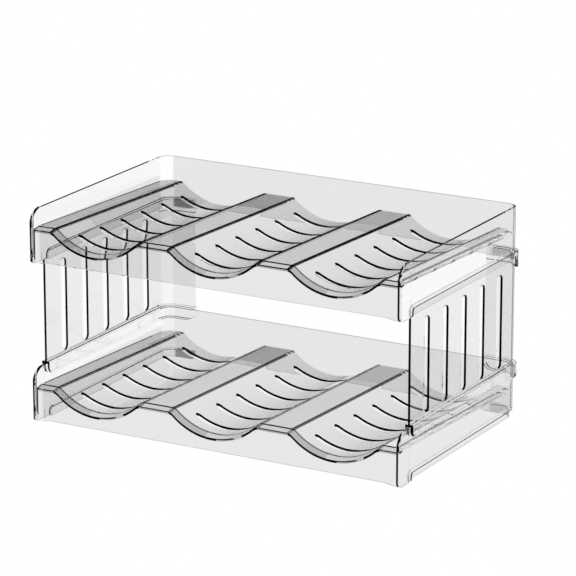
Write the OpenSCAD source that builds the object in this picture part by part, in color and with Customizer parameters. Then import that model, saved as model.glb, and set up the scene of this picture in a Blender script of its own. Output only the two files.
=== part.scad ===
// Two-tier bottle rack: two identical trays with wavy decks, stacked on a
// mirrored pair of slotted side panels. All pieces are clear one-piece mouldings.
// Frame: X across the rack, +Y towards the back, +Z up, origin at the middle of
// the footprint on the shelf.

/* [Trays] */
// Outer width of a tray, left to right
tray_w = 300; // [270:1:330]
// Outer depth of a tray, front to back
tray_d = 185; // [170:1:200]
// Height of a tray from its feet to its rim
tray_h = 40; // [38:0.5:44]
// Wall thickness of a tray
wall_t = 2; // [1.6:0.1:2.6]
// Radius of the posts' upright front corners
front_r = 0.8; // [0.4:0.1:1.6]
// Radius of the upright back corners
back_r = 10; // [7:0.5:14]
// Radius of the rim where the side wall ends at the front
rim_r = 12; // [8:0.5:12.5]
// Reach of the front posts past the apron
post_out = 2; // [1:0.2:3]
// Step of the front posts outside the side walls
post_side = 0.5; // [0.3:0.1:0.8]
// Length of a front post along the side
post_l = 14.5; // [13:0.5:15]
// Radius of a post's lower front corner
post_r = 4; // [2:0.5:5]

/* [Deck] */
// Height of the deck's ridges at the front edge, above the feet
deck_front_z = 27.2; // [26:0.2:29]
// Fall of the deck towards the back, in degrees
deck_fall = 1.8; // [0.8:0.1:2.4]
// Thickness of the deck
deck_t = 1.8; // [1.4:0.1:2.2]
// Distance from one trough to the next
trough_pitch = 97.4; // [92:0.2:99]
// Width of a trough between its two creases
trough_w = 72.6; // [66:0.2:76]
// Depth of a trough below the ridges
trough_depth = 14; // [12:0.2:15]
// Radius of the shoulder that rolls from a crease into a trough
shoulder_r = 9; // [6:0.5:12]
// Angle at which the shoulder leaves the crease, in degrees
crease_angle = 14; // [8:1:20]
// Length of the dipped lip along the front edge
lip_l = 6.5; // [4:0.5:8]
// Dip of the lip towards the front, in degrees
lip_dip = 9.6; // [6:0.2:12]

/* [Deck slots] */
// Number of slots along each trough
slot_rows = 6; // [5:1:6]
// Distance from one deck slot to the next
slot_pitch = 28.7; // [26:0.1:29.5]
// Width of a deck slot
slot_w = 5; // [4:0.2:6]
// Length of a deck slot across its trough, ends included
slot_l = 52.4; // [46:0.2:56]

/* [Base of a tray] */
// Height of the ledge that sits on a side panel
ledge_h = 5.5; // [4.5:0.1:6.5]
// Distance from the tray's front to the front end of the ledge
ledge_front = 18; // [16:0.5:22]
// Length of the ledge along the back, from the side
ledge_back = 23.5; // [20:0.5:28]
// Rounding of the ledge's end corners
ledge_r = 3; // [2:0.2:4]
// Thickness of the inset skirt under the ledge
skirt_t = 1.8; // [1.5:0.1:2.2]
// Rise of the front and back edges between the corner feet
foot_rise = 1.8; // [0.8:0.1:2.5]
// Width of a front corner foot
foot_w = 3; // [2.4:0.2:6]
// Length of the slope from a foot up to the raised edge
foot_ramp = 9; // [4:0.5:12]

/* [Side panels] */
// Clear height between the lower tray's rim and the upper tray's feet
tier_gap = 79.5; // [70:0.5:90]
// Thickness of a side panel
panel_t = 1.8; // [1.4:0.1:2.2]
// Shoulder of the panel in front of the ledge and beside its back end
shoulder_l = 3.4; // [2.8:0.1:4.6]
// Gap left between the pieces where they slide together
slide_gap = 0.25; // [0.15:0.05:0.4]
// Height of the two legs that straddle the lower tray's wall
leg_h = 8; // [6.5:0.5:9]
// Thickness of the inner leg
leg_t = 1.6; // [1.2:0.1:2]
// Rounding of the legs' lower end corners
leg_r = 6; // [2:0.5:6.4]
// Thickness of the foot flange that joins the panel and both legs
web_t = 1.8; // [1.4:0.1:2.2]

/* [Panel slots] */
// Number of upright slots in a panel
vent_rows = 5; // [3:1:5]
// Distance from one upright slot to the next
vent_pitch = 28.6; // [26:0.1:30]
// Width of an upright slot
vent_w = 7.5; // [6:0.1:9]
// Slot centres' offset towards the back from the tray's middle
vent_shift = 4.2; // [0:0.2:7]
// Solid band under the slots
vent_low = 3.7; // [2.5:0.1:6]
// Solid band between the slots and the upper tray's feet
vent_high = 5.2; // [4:0.1:8]

/* [Outer leg and corner hook] */
// Thickness of the outer leg and of the hook outside the upper tray
hook_t = 2.3; // [1.8:0.1:2.8]
// Start of the hook before the back face, on the side
hook_start = 8; // [6:0.5:9]
// Reach of the hook above the upper tray's feet
hook_top = 7; // [6.6:0.2:9]
// Reach of the hook below the upper tray's feet
hook_drop = 4.5; // [3:0.5:5]

/* [Grip pads] */
// Width of a grip pad on a leg
pad_w = 5; // [3:0.5:6]
// Height of a grip pad
pad_h = 5.5; // [4:0.5:6]
// Distance of a grip pad from the leg's lower edge
pad_low = 0.4; // [0.2:0.1:0.8]
// Width of the narrow pad on the back return
back_pad_w = 3.5; // [2.5:0.5:4]
// Distance of the narrow pad from the panel's end on the back
back_pad_in = 8.4; // [7:0.2:12]

/* [Hidden] */
$fn = 96;
// Margin by which cutting shapes pass the faces they cut
over = 1;
// Height of the upper tray's feet
tier_z = tray_h + tier_gap;
// Depth of the ledge and its distance from the skirt's inner face
ledge_d = panel_t + slide_gap;
skirt_in = ledge_d + skirt_t;
// Outer and inner face of the inner leg, measured in from the tray's side
leg_out = wall_t + slide_gap;
leg_in = leg_out + leg_t;
// Ends of the ledge
ledge_y = -tray_d / 2 + ledge_front;
ledge_x = tray_w / 2 - ledge_back;
// Ends of the panel, a shoulder beyond the ledge
panel_y = ledge_y - shoulder_l;
panel_x = ledge_x - shoulder_l;
// Reach of the outer leg and of the hook outside the tray
hook_out = slide_gap + hook_t;
// The rack is centred with its front posts and with its hooks at the back
mid_y = (post_out - hook_out) / 2;
// Foremost line of the trays
post_y = -tray_d / 2 - post_out;
// Lip line and its height
lip_y = -tray_d / 2 + lip_l;
lip_z = deck_front_z - lip_l * tan(deck_fall);
// Step down from the deck to the lip, and the lip's lap under the deck
lip_step = 0.1;
lip_lap = 0.4;
// Arc radius of a trough, tangent to both shoulders but for a hair's overlap
half_w = trough_w / 2;
shoulder_x = half_w + shoulder_r * sin(crease_angle);
shoulder_c = shoulder_r * cos(crease_angle) - trough_depth;
hair = 0.002;
trough_r = (shoulder_x * shoulder_x + shoulder_c * shoulder_c - shoulder_r * shoulder_r)
    / (2 * (shoulder_r - shoulder_c)) + hair;
// Height where trough arc and shoulder arc meet, below the ridges
meet_z = trough_r - trough_depth
    - (trough_r + shoulder_r * cos(crease_angle) - trough_depth) * trough_r / (trough_r + shoulder_r);
// Slot heights in the panel, above the lower tray's rim
vent_z0 = vent_low;
vent_z1 = tier_gap - vent_high;
// Front and back grip pads along the side
pad_y = [panel_y + 15.6, tray_d / 2 - back_r - 29.8, tray_d / 2 - back_r - 8.1];

// Plan outline of a tray without its posts, moved inwards by the inset
module plan(inset) {
    w = tray_w - 2 * inset;
    d = tray_d - 2 * inset;
    rb = back_r - inset;
    translate([-w / 2, -d / 2])
        square([w, d - rb]);
    translate([-w / 2 + rb, 0])
        square([w - 2 * rb, d / 2]);
    for (s = [-1, 1])
        translate([s * (w / 2 - rb), d / 2 - rb])
            circle(r = rb);
}

// Band that follows the right side, the back corner and part of the back,
// between two insets, starting at y0 on the side and at x0 on the back
module band(from, to, y0, x0) {
    intersection() {
        difference() {
            plan(from);
            plan(to);
        }
        translate([x0, y0])
            square([tray_w, tray_d]);
    }
}

// Block that leaves a rounded corner of radius r when it is taken away
module corner_block(r) {
    difference() {
        translate([-over, -over])
            square([r + over, r + over]);
        translate([r, r])
            circle(r = r);
    }
}

// The band raised from z0 to z1, with its end corners rounded at the top or foot
module strip(from, to, y0, x0, z0, z1, r_top = 0, r_foot = 0) {
    difference() {
        translate([0, 0, z0])
            linear_extrude(z1 - z0)
                band(from, to, y0, x0);
        if (r_top > 0) {
            translate([tray_w / 2 - back_r, y0, z1])
                rotate([90, 0, 90])
                    mirror([0, 1, 0])
                        linear_extrude(2 * back_r)
                            corner_block(r_top);
            translate([x0, tray_d / 2 + back_r, z1])
                rotate([90, 0, 0])
                    mirror([0, 1, 0])
                        linear_extrude(2 * back_r)
                            corner_block(r_top);
        }
        if (r_foot > 0) {
            translate([tray_w / 2 - back_r, y0, z0])
                rotate([90, 0, 90])
                    linear_extrude(2 * back_r)
                        corner_block(r_foot);
            translate([x0, tray_d / 2 + back_r, z0])
                rotate([90, 0, 0])
                    linear_extrude(2 * back_r)
                        corner_block(r_foot);
        }
    }
}

// Section through the deck: everything below the wave, lowered square to it by drop
module wave_section(drop) {
    difference() {
        translate([-tray_w / 2 - over, -tray_h])
            square([tray_w + 2 * over, tray_h - drop]);
        for (k = [-1, 0, 1])
            translate([k * trough_pitch, 0])
                trough_section(drop);
    }
}

// Opening of one trough: an arc that meets two shoulders
module trough_section(drop) {
    translate([0, trough_r - trough_depth])
        circle(r = trough_r + drop);
    difference() {
        translate([-shoulder_x, meet_z])
            square([2 * shoulder_x, over - drop - meet_z]);
        for (s = [-1, 1])
            translate([s * shoulder_x, -shoulder_r * cos(crease_angle)])
                circle(r = shoulder_r - drop);
    }
}

// Prism of the deck's section along the rack's depth, between two distances
// below the surface, tilted about the lip line
module deck_run(from, to, dip) {
    rotate([dip, 0, 0])
        translate([0, 2 * tray_d, 0])
            rotate([90, 0, 0])
                linear_extrude(4 * tray_d)
                    difference() {
                        wave_section(from);
                        if (to > from)
                            wave_section(to);
                    }
}

// Everything behind the mitre between fall and lip, or in front of it, to a
// distance past the mitre
module mitre_side(front, past) {
    rotate([(lip_dip - deck_fall) / 2, 0, 0])
        translate([-tray_w, front ? past - tray_d : -past, -2 * tray_h])
            cube([2 * tray_w, front ? tray_d : 2 * tray_d, 4 * tray_h]);
}

// Lip along the front edge, a hair lower than the fall where it joins it
module lip(from, to) {
    translate([0, lip_y, lip_z - lip_step])
        intersection() {
            deck_run(from, to, lip_dip);
            mitre_side(true, lip_lap);
        }
}

// The deck: its long fall to the back and its lip
module deck() {
    translate([0, lip_y, lip_z])
        intersection() {
            deck_run(0, deck_t, -deck_fall);
            mitre_side(false, 0);
        }
    lip(0, deck_t);
}

// One slot through the deck, with round ends
module deck_slot() {
    reach = (slot_l - slot_w) / 2;
    translate([-reach, -slot_w / 2, 0])
        cube([2 * reach, slot_w, tray_h]);
    for (s = [-1, 1])
        translate([s * reach, 0, 0])
            cylinder(h = tray_h, d = slot_w, $fn = 48);
}

// Relief under a front or back edge, between feet that reach in to x
module edge_relief(x) {
    rotate([90, 0, 0])
        linear_extrude(2 * wall_t + 2 * over, center = true)
            polygon([[-x, 0], [-x + foot_ramp, foot_rise], [x - foot_ramp, foot_rise], [x, 0],
                [x, -over], [-x, -over]]);
}

// Right-hand front post, where the side wall ends a step wider and further forward
module front_post() {
    linear_extrude(tray_h)
        difference() {
            translate([tray_w / 2 - wall_t, post_y])
                square([wall_t + post_side, post_l]);
            translate([tray_w / 2 + post_side, post_y])
                mirror([1, 0])
                    corner_block(front_r);
        }
}

// One tray with its feet at z = 0
module tray() {
    difference() {
        union() {
            // side and back walls
            linear_extrude(tray_h)
                difference() {
                    plan(0);
                    plan(wall_t);
                    translate([-tray_w / 2 + wall_t, -tray_d])
                        square([tray_w - 2 * wall_t, tray_d]);
                }
            // deck, out to the tray's faces
            intersection() {
                linear_extrude(tray_h)
                    plan(0);
                deck();
            }
            // front apron, up to the middle of the lip
            intersection() {
                linear_extrude(tray_h)
                    difference() {
                        plan(0);
                        plan(wall_t);
                        translate([-tray_w, -tray_d / 2 + wall_t])
                            square([2 * tray_w, 2 * tray_d]);
                    }
                lip(deck_t / 2, 0);
            }
            // front posts, then inset skirts and the webs over the ledges
            for (s = [0, 1])
                mirror([s, 0, 0]) {
                    front_post();
                    strip(wall_t / 2, skirt_in, ledge_y - wall_t, ledge_x - wall_t,
                        0, ledge_h + skirt_t, ledge_r + skirt_t, 0);
                }
        }
        // ledges that the side panels carry
        for (s = [0, 1])
            mirror([s, 0, 0])
                strip(-over, ledge_d, ledge_y, ledge_x, -over, ledge_h, ledge_r, 0);
        // raised edges between the corner feet
        translate([0, -tray_d / 2, 0])
            edge_relief(tray_w / 2 - foot_w);
        translate([0, tray_d / 2, 0])
            edge_relief(panel_x - foot_ramp);
        // rounded front ends of the side walls, at the rim and at the foot
        translate([-tray_w, post_y, tray_h])
            rotate([90, 0, 90])
                mirror([0, 1, 0])
                    linear_extrude(2 * tray_w)
                        corner_block(rim_r);
        translate([-tray_w, post_y, 0])
            rotate([90, 0, 90])
                linear_extrude(2 * tray_w)
                    corner_block(post_r);
        // slots in the troughs
        for (k = [-1, 0, 1])
            for (i = [0 : slot_rows - 1])
                translate([k * trough_pitch, (i - (slot_rows - 1) / 2) * slot_pitch + over, 0])
                    deck_slot();
    }
}

// One upright slot through the panel's side, with round ends
module vent() {
    r = vent_w / 2;
    translate([tray_w / 2 - 2 * back_r, -r, vent_z0 + r])
        cube([4 * back_r, vent_w, vent_z1 - vent_z0 - vent_w]);
    for (z = [vent_z0 + r, vent_z1 - r])
        translate([tray_w / 2 - 2 * back_r, 0, z])
            rotate([0, 90, 0])
                cylinder(h = 4 * back_r, r = r, $fn = 64);
}

// Grip pads on one leg, in a band between two insets, short of the tray's wall
module grip_pads(from, to) {
    translate([0, 0, pad_low - leg_h])
        linear_extrude(pad_h)
            intersection() {
                difference() {
                    plan(from);
                    plan(to);
                }
                union() {
                    for (y = pad_y)
                        translate([tray_w / 4, y - pad_w / 2])
                            square([tray_w, pad_w]);
                    translate([panel_x + back_pad_in - back_pad_w / 2, 0])
                        square([back_pad_w, tray_d]);
                }
            }
}

// Right-hand side panel, z = 0 on the lower tray's rim
module side_panel() {
    hook_y = tray_d / 2 - hook_start;
    difference() {
        union() {
            // wall between the tiers
            strip(0, panel_t, panel_y, panel_x, 0, tier_gap);
            // top edge that stands in the upper tray's ledge
            strip(0, panel_t, ledge_y + slide_gap, ledge_x + slide_gap,
                tier_gap - web_t, tier_gap + ledge_h, ledge_r, 0);
            // foot flange on the lower tray's rim, with a leg inside and outside it
            strip(-hook_out, leg_in, panel_y, panel_x, 0, web_t);
            strip(leg_out, leg_in, panel_y, panel_x, -leg_h, web_t, 0, leg_r);
            strip(-hook_out, -slide_gap, panel_y, panel_x, -leg_h, web_t, 0, leg_r);
            grip_pads(wall_t + slide_gap * 0.4, leg_out + leg_t / 2);
            grip_pads(-slide_gap - hook_t / 2, -slide_gap * 0.4);
            // hook outside the upper tray's back corner
            strip(-hook_out, panel_t / 2, hook_y, panel_x, tier_gap - hook_drop, tier_gap);
            strip(-hook_out, -slide_gap, hook_y, panel_x,
                tier_gap - hook_drop, tier_gap + hook_top, ledge_r / 2, 0);
        }
        for (i = [0 : vent_rows - 1])
            translate([0, vent_shift + (i - (vent_rows - 1) / 2) * vent_pitch, 0])
                vent();
    }
}

module lower_tray() {
    color([0.86, 0.87, 0.88, 0.45])
        translate([0, mid_y, 0])
            tray();
}

module upper_tray() {
    color([0.86, 0.87, 0.88, 0.45])
        translate([0, mid_y, tier_z])
            tray();
}

module right_side_panel() {
    color([0.9, 0.91, 0.92, 0.45])
        translate([0, mid_y, tray_h])
            side_panel();
}

module left_side_panel() {
    color([0.9, 0.91, 0.92, 0.45])
        translate([0, mid_y, tray_h])
            mirror([1, 0, 0])
                side_panel();
}

lower_tray();
upper_tray();
left_side_panel();
right_side_panel();
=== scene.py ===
"""Clear two-tier bottle rack: finishes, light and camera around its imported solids."""
import math

import bpy
from bpy.props import FloatProperty, FloatVectorProperty, PointerProperty
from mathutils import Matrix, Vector

bl_info = {
    "name": "Clear Bottle Rack",
    "version": (1, 0, 0),
    "blender": (4, 5, 0),
    "location": "View3D > Sidebar > Bottle Rack",
    "description": "Gives a clear two-tier bottle rack its plastic, its light and its view",
    "category": "Object",
}

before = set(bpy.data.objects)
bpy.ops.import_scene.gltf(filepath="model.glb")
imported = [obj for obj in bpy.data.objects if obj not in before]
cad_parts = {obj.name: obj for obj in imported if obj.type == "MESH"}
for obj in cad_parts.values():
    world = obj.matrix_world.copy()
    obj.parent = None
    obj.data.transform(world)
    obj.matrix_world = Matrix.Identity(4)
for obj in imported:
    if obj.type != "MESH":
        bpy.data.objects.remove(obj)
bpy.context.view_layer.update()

# Heights: the upper tray's feet, then what lies over each tray's own feet.
TIER_Z = 0.1195
RIM_Z = 0.040
BELOW_RIM_Z = 0.038
DECK_FRONT_Z = 0.0258
STRIP_FOOT_Z = 0.011
FOOT_PATCH_Z = 0.0065
LEDGE_Z = 0.0055
FOOT_FACE_Z = 0.0035
# Heights over the shelf: the top of the panels' legs, and just over the lower tray.
LEG_TOP_Z = 0.0404
LOWER_TRAY_Z = 0.041
# Places across the rack, from its middle outwards.
STRIP_X = 0.116
STRIP_BLEND = 0.014
FOOT_PATCH_LEFT_X = 0.1235
FOOT_PATCH_RIGHT_X = 0.1285
RIDGE_END_X = 0.138
SLOT_ZONE_X = 0.140
SIDE_EDGE_X = 0.1425
POST_CLEAR_X = 0.1437
INNER_FACE_X = 0.148
OUTER_FACE_X = 0.1505
# Places along its depth, from front to back.
APRON_Y = -0.0925
LIP_BACK_Y = -0.0863
FRONT_ZONE_Y = -0.082
LEDGE_FRONT_Y = -0.0748
SHOULDER_BACK_Y = -0.070
LEFT_PART_Y = -0.045
RIDGE_BACK_Y = 0.045
BACK_ZONE_Y = 0.080
FOOT_PATCH_RIGHT_Y = 0.083
FOOT_PATCH_LEFT_Y = 0.086
# How far off a point may be and still count as lying on a face.
NEAR = 0.0002
CLOSE = 0.0005
# The deck's troughs in section, and where the deck's outer left part begins.
TROUGH_PITCH = 0.0974
TROUGH_HALF = 0.0363
TROUGH_DEPTH = 0.014
SHOULDER_R = 0.009
CREASE_ANGLE = math.radians(14.0)
LEFT_PART_X = TROUGH_HALF - 1.5 * TROUGH_PITCH

# How far a face is turned to an axis, as a limit for that part of its unit normal.
SQUARE_ON = 0.9
MOSTLY = 0.5
UPRIGHT = 0.3
SLOT_WALL_TURN = 0.1
LEFT_END_TURN = 0.8
FRONT_EDGE_TURN = 0.6
LEDGE_TURN = 0.3
SHEET_TURN = 0.4
ROUND_TURN = 0.2
LIP_TURN = 0.2
MITRE_TURN = 0.15
PANEL_WALL_TURN = 0.4
PANEL_SLOT_TURN = 0.25
LEG_EDGE_TURN = 0.8

# The black lines of painted shade: how far each reaches to a side of its edge.
END_LINE_W = 0.0015
END_LINE_IN = 0.00025
FRONT_LINE_W = 0.002
CREASE_W = 0.0015
LIP_LINE_W = 0.0007
# A crease's reach on to the ridge, in parts of its width, and what the right creases add.
CREASE_OUT = 0.5
CREASE_OUT_RIGHT = 1.1
# How dark the front edge's painted shade line is at the ridges, what the troughs add to it,
# and what is taken away again in a part right of each trough's middle.
FRONT_DARK = 0.5
FRONT_TROUGH_DARK = 0.5
FRONT_FADE = 0.6
FRONT_FADE_X = (0.003, 0.024)
# How dark the painted shade is on the lip's bend at the ridges, what the troughs add, and on the
# back rims' line.
LIP_LINE_DARK = 0.55
LIP_LINE_TROUGH_DARK = 0.2
RIM_LINE_DARK = 0.35
# The painted shade streak along the right back corner: the way that it faces, its soft
# edge and its darkness.
STREAK_FACING = (0.872, 0.489)
STREAK_FROM = 0.94
STREAK_BLEND = 0.06
STREAK_DARK = 0.7

# How solid the thin places look, and what the back rims have over the other rims.
STRIP_ALPHA = 0.3
RIM_ALPHA = 0.35
LEG_ALPHA = 0.12
BACK_RIM_SOLID = 0.4
# How much of the grey shows: along the lip, for its thicker plastic and as painted shade;
# as painted shade at the back wall's foot, the ridges' back ends and the deck's outer left part.
LIP_TINT_AND_SHADE = 0.45
LIP_MITRE_SHADE = 0.5
FOOT_PATCH_LEFT_SHADE = 0.9
FOOT_PATCH_RIGHT_SHADE = 0.5
RIDGE_SHADE = 0.35
RIDGE_LEFT_SHADE = 0.45
LEFT_PART_SHADE = 0.06
LEFT_PART_BACK_SHADE = 0.34
# How much of the tint painted light takes off the side walls, what the lower tray's left back
# corner keeps of it against the painted highlight, and how much of it the panels lose there to it.
WALL_LIGHT = 0.7
LOWER_CORNER_TINT = 0.6
PANEL_CORNER_HIGHLIGHT = 0.5

# The plastic: the black of its painted edge shade, the white of its painted light, the grey of its
# painted shade (along the lip also its thicker plastic), its refraction and its flow marks.
EDGE_SHADE_BLACK = (0.002, 0.002, 0.002, 1.0)
PAINTED_LIGHT_WHITE = (1.0, 1.0, 1.0, 1.0)
TINT_AND_SHADE_GREY = (0.28, 0.28, 0.28, 1.0)
PLASTIC_IOR = 1.2
FLOW_SCALE = 18.0
FLOW_DETAIL = 2.0
FLOW_ROUGH = 0.02
FLOW_STRENGTH = 0.01
FLOW_DEPTH = 0.0004

# The camera stands far off and to the right, a little above the rack.
VIEW_TURN = math.radians(29.26)
VIEW_RISE = math.radians(16.43)
VIEW_DISTANCE = 2.63879
VIEW_LENS = 228.08
VIEW_SENSOR = 36.0
VIEW_LIMIT = 50.0
AIM_HEIGHT = 0.110
AIM_RIGHT = 0.00837
AIM_UP = -0.01064
# The rack is centred on its footprint with the hooks, its trays a little forward.
TRAY_SHIFT = -0.000275
# The floor lies just under the feet, and the air around gives a faint light.
FLOOR_SIZE = 12.0
FLOOR_Z = -0.0005
FLOOR_GREY = (0.9, 0.9, 0.9, 1.0)
FLOOR_WHITE = (1.0, 1.0, 1.0, 1.0)
AIR_STRENGTH = 0.05
AIR_GREY = (0.05, 0.05, 0.05, 1.0)
# The lamps: name, place, width and power, all turned to one point over the shelf.
LAMPS = (
    ("key", (-1.2, -1.4, 1.8), 1.0, 30.0),
    ("fill", (1.8, -1.0, 1.2), 1.2, 18.0),
    ("rim", (0.2, 1.8, 1.6), 1.0, 20.0))
LAMP_AIM = (0.0, 0.0, 0.08)

# Each tray's name, the height of its feet and how dark the painted shade on its creases is.
TRAYS = (("lower_tray", 0.0, 0.45), ("upper_tray", TIER_Z, 0.95))
PANELS = ("left_side_panel", "right_side_panel")

# The colour sockets of a Mix node, which share their names with others.
MIX_FIRST = 6
MIX_SECOND = 7
MIX_RESULT = 2


class Wire:
    """A shader socket that takes part in sums written in Python."""

    def __init__(self, paint, socket):
        self.paint = paint
        self.socket = socket

    def _math(self, operation, *values):
        return self.paint.node("ShaderNodeMath", {"operation": operation}, dict(enumerate(values)))

    def __add__(self, other):
        return self._math("ADD", self, other)

    __radd__ = __add__

    def __sub__(self, other):
        return self._math("SUBTRACT", self, other)

    def __rsub__(self, other):
        return self._math("SUBTRACT", other, self)

    def __mul__(self, other):
        return self._math("MULTIPLY", self, other)

    __rmul__ = __mul__

    def __truediv__(self, other):
        return self._math("DIVIDE", self, other)

    def __abs__(self):
        return self._math("ABSOLUTE", self)

    def __gt__(self, other):
        return self._math("GREATER_THAN", self, other)

    def __lt__(self, other):
        return self._math("LESS_THAN", self, other)

    def root(self):
        return self._math("SQRT", self)

    def rounded(self):
        return self._math("ROUND", self)

    def clamped(self):
        return self.least(1.0).most(0.0)

    def least(self, other):
        return self._math("MINIMUM", self, other)

    def most(self, other):
        return self._math("MAXIMUM", self, other)

    def within(self, low, high):
        return (self > low) * (self < high)


class Paint:
    """The nodes of a material or a world, made one call at a time."""

    def __init__(self, owner, ending="ShaderNodeOutputMaterial"):
        owner.use_nodes = True
        self.owner = owner
        self.tree = owner.node_tree
        self.tree.nodes.clear()
        self.out = self.tree.nodes.new(ending)

    def node(self, kind, settings=None, sockets=None, output=0):
        made = self.tree.nodes.new(kind)
        for key, value in (settings or {}).items():
            setattr(made, key, value)
        for key, value in (sockets or {}).items():
            if isinstance(value, Wire):
                self.tree.links.new(value.socket, made.inputs[key])
            else:
                made.inputs[key].default_value = value
        return Wire(self, made.outputs[output])

    def axes(self, vector):
        return [self.node("ShaderNodeSeparateXYZ", None, {0: vector}, output=i) for i in range(3)]

    def ray(self, kind):
        return self.node("ShaderNodeLightPath", output=kind)

    def mixed(self, factor, first, second):
        sockets = {0: factor, MIX_FIRST: first, MIX_SECOND: second}
        return self.node("ShaderNodeMix", {"data_type": "RGBA"}, sockets, MIX_RESULT)

    def blend(self, factor, first, second):
        return self.node("ShaderNodeMixShader", None, {0: factor, 1: first, 2: second})

    def finish(self, surface):
        self.tree.links.new(surface.socket, self.out.inputs["Surface"])
        return self.owner


class Surface:
    """A point of the plastic's skin: its place and the way that it faces."""

    def __init__(self, paint):
        self.place = paint.node("ShaderNodeTexCoord", output="Object")
        inside = paint.node("ShaderNodeNewGeometry", output="Backfacing")
        normal = paint.node("ShaderNodeNewGeometry", output="True Normal")
        facing = paint.node("ShaderNodeVectorMath", {"operation": "SCALE"}, {
            0: normal, "Scale": 1.0 - 2.0 * inside})
        self.x, self.y, self.z = paint.axes(self.place)
        self.out_x, self.out_y, self.out_z = paint.axes(facing)


def across_trough(skin):
    """Distance to the right of the middle line of the nearest trough."""
    return skin.x - TROUGH_PITCH * (skin.x / TROUGH_PITCH).rounded()


def trough_drop(across):
    """Depth of the deck's surface below its ridges: one large arc between two shoulders."""
    shoulder_x = TROUGH_HALF + SHOULDER_R * math.sin(CREASE_ANGLE)
    shoulder_z = SHOULDER_R * math.cos(CREASE_ANGLE)
    rest = shoulder_z - TROUGH_DEPTH
    radius = (shoulder_x ** 2 + rest ** 2 - SHOULDER_R ** 2) / (2.0 * (SHOULDER_R - rest))
    meet = shoulder_x * radius / (radius + SHOULDER_R)
    bowl = (radius ** 2 - across * across).most(0.0).root() - (radius - TROUGH_DEPTH)
    off = across - shoulder_x
    shoulder = shoulder_z - (SHOULDER_R ** 2 - off * off).most(0.0).root()
    return (across < meet) * bowl + across.within(meet, TROUGH_HALF) * shoulder


def slot_walls(skin):
    """Mask of the walls of the deck's slots."""
    zone = (abs(skin.x) < SLOT_ZONE_X) * (abs(skin.y) < BACK_ZONE_Y)
    return zone * (abs(skin.out_z) < UPRIGHT)


def rim_top(skin, foot):
    """Mask of a tray's rim, seen from above."""
    return (skin.z > foot + RIM_Z - NEAR) * (skin.out_z > MOSTLY)


def deck_top(skin, foot):
    """Mask of what a tray shows from above under its rim."""
    return (skin.z < foot + BELOW_RIM_Z) * (skin.out_z > MOSTLY)


def wall_end_shade(skin):
    """Mask of the front ends of a tray's side walls, painted black as shade."""
    right = skin.x.within(INNER_FACE_X - END_LINE_IN, INNER_FACE_X + END_LINE_W)
    left = skin.x < END_LINE_W - OUTER_FACE_X
    shaded_ends = (right * (skin.out_y < -MOSTLY)).most(left * (skin.out_y < -LEFT_END_TURN))
    return shaded_ends * (skin.y < FRONT_ZONE_Y)


def front_edge_shade(skin, foot):
    """Mask of the painted shade line along the deck's front edge, weaker at the ridges and beside
    middles.
    """
    right_of = across_trough(skin)
    across = abs(right_of)
    edge = foot + DECK_FRONT_Z - trough_drop(across)
    line = skin.z.within(edge - FRONT_LINE_W, edge + FRONT_LINE_W)
    line = line * (skin.out_y < -FRONT_EDGE_TURN)
    line = line * (skin.y < FRONT_ZONE_Y) * (abs(skin.x) < INNER_FACE_X)
    dark = FRONT_DARK + FRONT_TROUGH_DARK * (across < TROUGH_HALF)
    return line * (dark - FRONT_FADE * right_of.within(*FRONT_FADE_X))


def fold_shade(skin, foot, crease):
    """Mask of the painted shade on the creases along the ridges and on the bend behind the lip."""
    right_of = across_trough(skin)
    across = abs(right_of)
    in_trough = across < TROUGH_HALF
    reach = CREASE_OUT + CREASE_OUT_RIGHT * (right_of > 0.0) * (skin.x < STRIP_X)
    creases = across.within(TROUGH_HALF - CREASE_W, TROUGH_HALF + CREASE_W * reach) * crease
    bend = abs(skin.y - LIP_BACK_Y) < LIP_LINE_W
    bend = bend * (LIP_LINE_DARK + LIP_LINE_TROUGH_DARK * in_trough)
    return creases.most(bend) * deck_top(skin, foot) * (abs(skin.x) < SLOT_ZONE_X)


def ledge_end_shade(skin, foot):
    """Mask of the short painted shade lines where a tray's ledges begin behind its posts."""
    shaded_ends = (abs(skin.y - LEDGE_FRONT_Y) < LEDGE_Z) * (skin.z < foot + LEDGE_Z)
    return shaded_ends * (abs(skin.x) > INNER_FACE_X - NEAR) * (skin.out_y > LEDGE_TURN)


def tray_painted_shade(skin, foot, crease):
    """Mask of a tray's painted shade, in black: slot walls, wall ends, edges, creases and back
    rim.
    """
    slots = slot_walls(skin) * (skin.out_y < SLOT_WALL_TURN)
    lines = front_edge_shade(skin, foot).most(fold_shade(skin, foot, crease))
    rim = RIM_LINE_DARK * rim_top(skin, foot) * (skin.y > BACK_ZONE_Y)
    return slots.most(wall_end_shade(skin)).most(lines).most(ledge_end_shade(skin, foot)).most(rim)


def right_strip(skin):
    """Mask of the deck's strip along the right wall, where the sheet is seen edge on."""
    strip = ((skin.x - STRIP_X) / STRIP_BLEND).clamped() * (abs(skin.out_z) > SHEET_TURN)
    return strip * (skin.y > LIP_BACK_Y)


def left_corner_highlight(skin):
    """Mask of the rounded back corner on the left, for a painted highlight where the light comes
    through whitest.
    """
    round_part = (abs(skin.out_x * skin.out_y) > ROUND_TURN) * (abs(skin.out_z) < UPRIGHT)
    return round_part * (skin.y > BACK_ZONE_Y) * (skin.x < 0.0)


def right_corner_shade(skin):
    """Mask of a soft painted shade streak along the rounded back corner on the right."""
    aside = STREAK_FACING[0] * skin.out_x + STREAK_FACING[1] * skin.out_y
    streak = ((aside - STREAK_FROM) / STREAK_BLEND).clamped()
    return streak * (skin.y > BACK_ZONE_Y) * (skin.x > 0.0)


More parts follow.
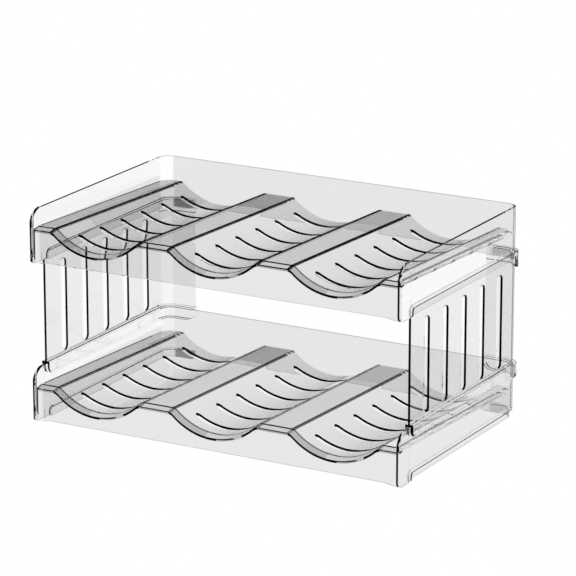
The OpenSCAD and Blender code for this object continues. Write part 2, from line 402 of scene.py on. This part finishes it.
def tray_alpha(skin, foot):
    """How solid a tray looks: less so on rims, narrow faces and the strip's outer edge."""
    rim = rim_top(skin, foot) * (1.0 - BACK_RIM_SOLID * (skin.y > BACK_ZONE_Y))
    post = (abs(skin.x) < INNER_FACE_X + NEAR) * (skin.y < APRON_Y)
    post = post * (abs(skin.out_x) > SQUARE_ON)
    near = slot_walls(skin) * (skin.out_y > SLOT_WALL_TURN)
    under = (skin.out_z < -MOSTLY) * (skin.z < foot + FOOT_FACE_Z)
    thin = rim.most(post).most(near).most(under)
    edge = (skin.x > SIDE_EDGE_X) * right_strip(skin) * (skin.z > foot + STRIP_FOOT_Z)
    return 1.0 - ((1.0 - STRIP_ALPHA) * edge).most((1.0 - RIM_ALPHA) * thin)


def lip_tint_and_shade(skin):
    """How dark the lip is, for its thicker plastic and as painted shade, darkest where its mitres
    turn to the right.
    """
    lip = (skin.y < LIP_BACK_Y) * (skin.out_z > LIP_TURN) * (abs(skin.x) < INNER_FACE_X)
    return lip * (LIP_TINT_AND_SHADE + LIP_MITRE_SHADE * (skin.out_x > MITRE_TURN))


def foot_shade(skin, foot):
    """How much painted shade lies at the back wall's foot, near its left and right ends."""
    low = skin.z < foot + FOOT_PATCH_Z
    left = skin.x.within(-SLOT_ZONE_X, -FOOT_PATCH_LEFT_X) * (skin.y > FOOT_PATCH_LEFT_Y)
    right = skin.x.within(FOOT_PATCH_RIGHT_X, OUTER_FACE_X) * (skin.y > FOOT_PATCH_RIGHT_Y)
    return (FOOT_PATCH_LEFT_SHADE * left).most(FOOT_PATCH_RIGHT_SHADE * right) * low


def deck_shade(skin, foot):
    """How much painted shade lies at the ridges' back ends and in the deck's outer left part."""
    top = deck_top(skin, foot) * (abs(skin.x) < RIDGE_END_X)
    ridge = (abs(across_trough(skin)) > TROUGH_HALF) * (skin.y > RIDGE_BACK_Y)
    ridge = ridge * (RIDGE_SHADE + RIDGE_LEFT_SHADE * (skin.x < 0.0))
    upper_back = (skin.z > TIER_Z) * (skin.y > LEFT_PART_Y)
    left = (skin.x < LEFT_PART_X) * (LEFT_PART_SHADE + LEFT_PART_BACK_SHADE * upper_back)
    return ridge.most(left) * top


def tray_painted_light(skin, foot):
    """How much painted light lifts a tray's tint: at the strip, left corner, left post and walls.
    """
    post = skin.x.within(-INNER_FACE_X, -POST_CLEAR_X) * (skin.y < FRONT_ZONE_Y)
    post = post * (abs(skin.out_y) > SQUARE_ON)
    wall = (abs(skin.out_x) > SQUARE_ON) * (abs(skin.x) > INNER_FACE_X - CLOSE)
    high = (skin.z > foot + DECK_FRONT_Z).most((skin.z > TIER_Z) * (skin.x > 0.0))
    corner = left_corner_highlight(skin) * (1.0 - LOWER_CORNER_TINT * (skin.z < LOWER_TRAY_Z))
    return right_strip(skin).most(corner).most(post).most(WALL_LIGHT * wall * high)


def tray_tint(paint, skin, foot, tint):
    """A tray's tint, lifted to white by painted light in some places and darkened by painted shade
    in others.
    """
    # Painted light lifts the tint towards white.
    clear = paint.mixed(tray_painted_light(skin, foot), (*tint, 1.0), PAINTED_LIGHT_WHITE)
    # Painted shade, and along the lip also its thicker plastic, darkens the tint towards grey.
    darkening = lip_tint_and_shade(skin).most(foot_shade(skin, foot)).most(deck_shade(skin, foot))
    return paint.mixed(darkening, clear, TINT_AND_SHADE_GREY)


def panel_painted_shade(skin):
    """Mask of the panels' painted shade, in black: slot walls, front ends and shoulders."""
    shaded_ends = (abs(skin.out_x) < PANEL_WALL_TURN) * (skin.out_y < -PANEL_SLOT_TURN)
    shoulders = (skin.out_z > SQUARE_ON) * (skin.z > TIER_Z - CLOSE) * (skin.y < SHOULDER_BACK_Y)
    return shaded_ends.most(shoulders) * (skin.y < BACK_ZONE_Y)


def panel_legs(skin):
    """Mask of the thin legs that straddle the lower tray's wall."""
    return skin.z < LEG_TOP_Z


def panel_alpha(skin):
    """How solid the panels look: less so on the legs' edges and the slots' near walls."""
    near = (abs(skin.out_x) < PANEL_WALL_TURN) * (skin.out_y > PANEL_SLOT_TURN)
    edge = panel_legs(skin) * (abs(skin.out_x) < LEG_EDGE_TURN)
    before_corner = skin.y < BACK_ZONE_Y
    return 1.0 - ((1.0 - LEG_ALPHA) * edge).most((1.0 - RIM_ALPHA) * near) * before_corner


def panel_tint(paint, skin, tint):
    """The panels' tint, lifted by painted light in the legs and at the left back corner."""
    clear = panel_legs(skin).most(PANEL_CORNER_HIGHLIGHT * left_corner_highlight(skin))
    return paint.mixed(clear, (*tint, 1.0), PAINTED_LIGHT_WHITE)


def clear_plastic(name, haze, tinted, alpha, shaded_ends):
    """Polished clear plastic: a faint tint with painted light and shade, black painted shade on
    its end faces, a trace of haze and flow marks.
    """
    paint = Paint(bpy.data.materials.new(name))
    skin = Surface(paint)
    flow = paint.node("ShaderNodeTexNoise", None, {
        "Vector": skin.place, "Scale": FLOW_SCALE, "Detail": FLOW_DETAIL})
    bump = paint.node("ShaderNodeBump", None, {
        "Strength": FLOW_STRENGTH, "Distance": FLOW_DEPTH, "Height": flow})
    clear = paint.node("ShaderNodeBsdfPrincipled", None, {
        "Base Color": tinted(paint, skin), "Roughness": haze + FLOW_ROUGH * flow,
        "IOR": PLASTIC_IOR, "Alpha": alpha(skin), "Transmission Weight": 1.0, "Normal": bump})
    painted_shade = paint.node("ShaderNodeBsdfPrincipled", None, {
        "Base Color": EDGE_SHADE_BLACK, "Roughness": 1.0, "Specular IOR Level": 0.0})
    # Painted shade: black on the masked end faces, slot walls, edges and creases, and a dark
    # streak down the right back corner.
    dark = shaded_ends(skin).most(STREAK_DARK * right_corner_shade(skin))
    return paint.finish(paint.blend(dark, clear, painted_shade))


def coat(node, plastic):
    """Give a piece one finish in place of any that it has."""
    node.data.materials.clear()
    node.data.materials.append(plastic)


class RackSettings(bpy.types.PropertyGroup):
    """What a user would change about the rack's finish."""

    tray_tint: FloatVectorProperty(
        name="Tray tint", description="Colour of the trays' clear plastic",
        subtype="COLOR", size=3, min=0.0, max=1.0, default=(0.80, 0.80, 0.80))
    panel_tint: FloatVectorProperty(
        name="Panel tint", description="Colour of the side panels' clear plastic",
        subtype="COLOR", size=3, min=0.0, max=1.0, default=(0.84, 0.84, 0.84))
    haze: FloatProperty(
        name="Haze", description="Roughness of the polished plastic",
        min=0.0, max=0.3, default=0.01)


class BOTTLERACK_OT_trays(bpy.types.Operator):
    """Dress both trays in clear plastic"""

    bl_idname = "bottle_rack.trays"
    bl_label = "Trays"

    def execute(self, context):
        settings = context.scene.bottle_rack
        for name, foot, crease in TRAYS:
            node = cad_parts[name]
            coat(node, clear_plastic(
                name + "_clear", settings.haze,
                lambda paint, skin: tray_tint(paint, skin, foot, settings.tray_tint),
                lambda skin: tray_alpha(skin, foot),
                lambda skin: tray_painted_shade(skin, foot, crease)))
        return {"FINISHED"}


class BOTTLERACK_OT_panels(bpy.types.Operator):
    """Dress both side panels in clear plastic"""

    bl_idname = "bottle_rack.panels"
    bl_label = "Side panels"

    def execute(self, context):
        settings = context.scene.bottle_rack
        plastic = clear_plastic(
            "panel_clear", settings.haze,
            lambda paint, skin: panel_tint(paint, skin, settings.panel_tint),
            panel_alpha, panel_painted_shade)
        for name in PANELS:
            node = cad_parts[name]
            coat(node, plastic)
        return {"FINISHED"}


class BOTTLERACK_OT_stage(bpy.types.Operator):
    """Set the floor, the light and the camera"""

    bl_idname = "bottle_rack.stage"
    bl_label = "Stage"

    def execute(self, context):
        scene = context.scene
        scene.view_settings.view_transform = "Standard"
        self.floor()
        self.world(scene)
        self.lamps(scene)
        self.camera(scene)
        return {"FINISHED"}

    def floor(self):
        bpy.ops.mesh.primitive_plane_add(size=FLOOR_SIZE, location=(0.0, 0.0, FLOOR_Z))
        floor = bpy.context.object
        floor.name = "floor"
        paint = Paint(bpy.data.materials.new("floor"))
        seen = paint.ray("Is Camera Ray").most(paint.ray("Is Transmission Ray"))
        seen = seen.most(paint.ray("Is Glossy Ray"))
        plain = paint.node("ShaderNodeBsdfDiffuse", None, {"Color": FLOOR_GREY})
        bright = paint.node("ShaderNodeEmission", None, {"Color": FLOOR_WHITE, "Strength": 1.0})
        floor.data.materials.append(paint.finish(paint.blend(seen, plain, bright)))

    def world(self, scene):
        paint = Paint(bpy.data.worlds.new("studio"), "ShaderNodeOutputWorld")
        seen = paint.ray("Is Camera Ray").most(paint.ray("Is Transmission Ray"))
        dim = paint.node("ShaderNodeBackground", None, {"Strength": AIR_STRENGTH})
        grey = paint.node("ShaderNodeBackground", None, {"Color": AIR_GREY})
        scene.world = paint.finish(paint.blend(seen, dim, grey))

    def lamps(self, scene):
        for name, place, width, power in LAMPS:
            data = bpy.data.lights.new(name, "AREA")
            data.size = width
            data.energy = power
            lamp = bpy.data.objects.new(name, data)
            lamp.location = place
            beam = Vector(LAMP_AIM) - Vector(place)
            lamp.rotation_euler = beam.to_track_quat("-Z", "Y").to_euler()
            scene.collection.objects.link(lamp)
            lamp.visible_glossy = False
            lamp.visible_transmission = False

    def camera(self, scene):
        level = math.cos(VIEW_RISE)
        back = Vector((math.sin(VIEW_TURN) * level, -math.cos(VIEW_TURN) * level,
                       math.sin(VIEW_RISE)))
        right = Vector((math.cos(VIEW_TURN), math.sin(VIEW_TURN), 0.0))
        up = back.cross(right)
        aim = Vector((0.0, TRAY_SHIFT, AIM_HEIGHT)) + AIM_RIGHT * right + AIM_UP * up
        data = bpy.data.cameras.new("camera")
        data.lens = VIEW_LENS
        data.sensor_width = VIEW_SENSOR
        data.clip_end = VIEW_LIMIT
        camera = bpy.data.objects.new("camera", data)
        camera.location = aim + VIEW_DISTANCE * back
        camera.rotation_euler = (-back).to_track_quat("-Z", "Y").to_euler()
        scene.collection.objects.link(camera)
        scene.camera = camera


class BOTTLERACK_PT_panel(bpy.types.Panel):
    """The rack's pieces and its stage"""

    bl_label = "Bottle Rack"
    bl_space_type = "VIEW_3D"
    bl_region_type = "UI"
    bl_category = "Bottle Rack"

    def draw(self, context):
        layout = self.layout
        settings = context.scene.bottle_rack
        for name in ("tray_tint", "panel_tint", "haze"):
            layout.prop(settings, name)
        for operator in (BOTTLERACK_OT_trays, BOTTLERACK_OT_panels, BOTTLERACK_OT_stage):
            layout.operator(operator.bl_idname)


CLASSES = (RackSettings, BOTTLERACK_OT_trays, BOTTLERACK_OT_panels, BOTTLERACK_OT_stage,
           BOTTLERACK_PT_panel)


def register():
    for item in CLASSES:
        bpy.utils.register_class(item)
    bpy.types.Scene.bottle_rack = PointerProperty(type=RackSettings)


def unregister():
    del bpy.types.Scene.bottle_rack
    for item in reversed(CLASSES):
        bpy.utils.unregister_class(item)


def main():
    register()
    bpy.ops.bottle_rack.trays()
    bpy.ops.bottle_rack.panels()
    bpy.ops.bottle_rack.stage()


if __name__ == "__main__":
    main()
